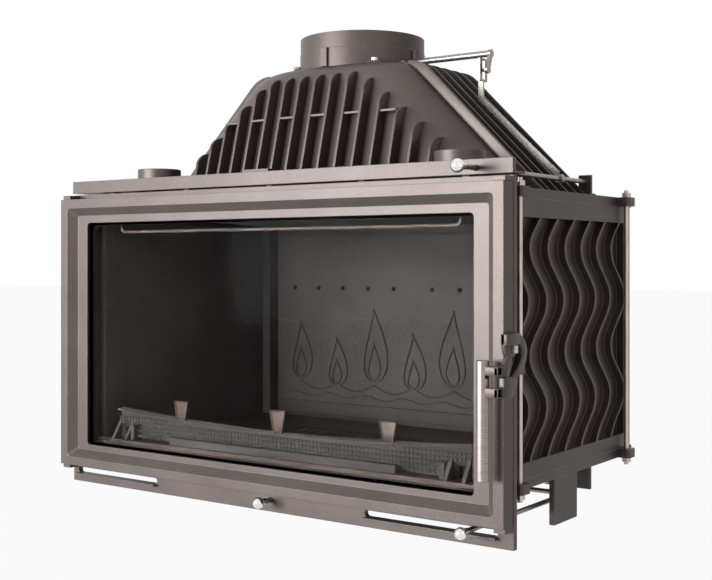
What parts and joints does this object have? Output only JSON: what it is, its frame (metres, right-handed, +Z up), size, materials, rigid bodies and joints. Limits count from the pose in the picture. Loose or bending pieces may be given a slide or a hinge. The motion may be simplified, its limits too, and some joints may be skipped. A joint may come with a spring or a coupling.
{
  "type": "fireplace insert",
  "caption": "Wide cast-iron fireplace insert with a side-hinged glass door, ribbed smoke hood, flue collar with damper, and air controls below the door.",
  "frame": {"origin": "on the floor, under the middle of the insert's box", "axes": "+X to the right of someone facing the door, +Y back from the door, +Z up"},
  "size_m": [0.8243, 0.496, 0.7185],
  "materials": {
    "cast": "grey-brown heat-proof paint over sand-cast iron",
    "sooty_iron": "dark matt cast iron",
    "sheet_steel": "black heat-proof paint",
    "ceramic_glass": "clear heat-proof glass",
    "rope": "braided glass-fibre rope, dark",
    "satin_steel": "satin",
    "zinc": "bright zinc plate",
    "bare_steel": "drawn bar, slightly darkened",
    "polished": "polished ball"
  },
  "bodies": {
    "root": {"airwash_bar": "sheet_steel", "airwash_lip": "sheet_steel", "ash_box": "sheet_steel", "ash_pan": "sheet_steel", "back_panel": "cast", "baffle_plate": "sooty_iron", "base_casting": "cast", "collar_bolts": "zinc", "fireback": "sooty_iron", "flue_collar": "cast", "front_frame": "cast", "front_strip": "sooty_iron", "grate": "sooty_iron", "hinge_pins": "bare_steel", "latch_catch": "cast", "left_air_spigot": "cast", "left_liner": "sooty_iron", "left_side_panel": "cast", "leg_bolts": "zinc", "log_guard": "sooty_iron", "log_horns": "sooty_iron", "rear_leg_left": "cast", "rear_leg_right": "cast", "right_air_spigot": "cast", "right_liner": "sooty_iron", "right_side_panel": "cast", "rod_bracket": "cast", "side_leg_left": "cast", "side_leg_right": "cast", "smoke_hood": "cast", "tie_rod_nuts": "zinc", "tie_rods": "zinc", "top_casting": "cast", "top_ledge": "cast"},
    "door": {"door_frame": "cast", "door_glass": "ceramic_glass", "glass_gasket": "rope", "door_rope_gasket": "rope", "retainer_top": "sheet_steel", "retainer_left": "sheet_steel", "retainer_right": "sheet_steel", "retainer_low_long": "sheet_steel", "retainer_low_short": "sheet_steel", "latch_bolt": "zinc"},
    "handle": {"latch_lever": "cast", "handle_grip": "satin_steel"},
    "pull_rod": {"damper_pull_rod": "bare_steel", "damper_rod_knob": "polished", "damper_link_bar": "bare_steel"},
    "damper": {"damper_shaft": "bare_steel", "damper_plate": "sheet_steel", "damper_screws": "zinc"},
    "primary_air": {"primary_air_rod": "bare_steel", "primary_air_knob": "polished", "primary_shutter": "sheet_steel"},
    "outside_air": {"throttle_rod": "bare_steel", "throttle_knob": "polished", "throttle_plate": "sheet_steel"}
  },
  "joints": [
    {"name": "door_hinge", "type": "hinge", "parent": "root", "child": "door", "pos_m": [-0.3985, -0.205, 0.2], "axis": [0, 0, -1], "range_deg": [0, 110]},
    {"name": "latch", "type": "hinge", "parent": "door", "child": "handle", "pos_m": [0.41, -0.204, 0.255], "axis": [-1, 0, 0], "range_deg": [0, 40]},
    {"name": "damper_pull", "type": "slide", "parent": "root", "child": "pull_rod", "axis": [0, 1, 0], "range_m": [0, 0.0273]},
    {"name": "damper_turn", "type": "hinge", "parent": "root", "child": "damper", "pos_m": [0, 0.058, 0.6755], "axis": [1, 0, 0], "range_deg": [0, 62.5]},
    {"name": "primary_air_slide", "type": "slide", "parent": "root", "child": "primary_air", "axis": [0, -1, 0], "range_m": [0, 0.03]},
    {"name": "outside_air_slide", "type": "slide", "parent": "root", "child": "outside_air", "axis": [0, -1, 0], "range_m": [0, 0.03]}
  ],
  "couplings": [
    {"joint": "damper_turn", "follows": "damper_pull", "rad_per_m": 39.64}
  ]
}
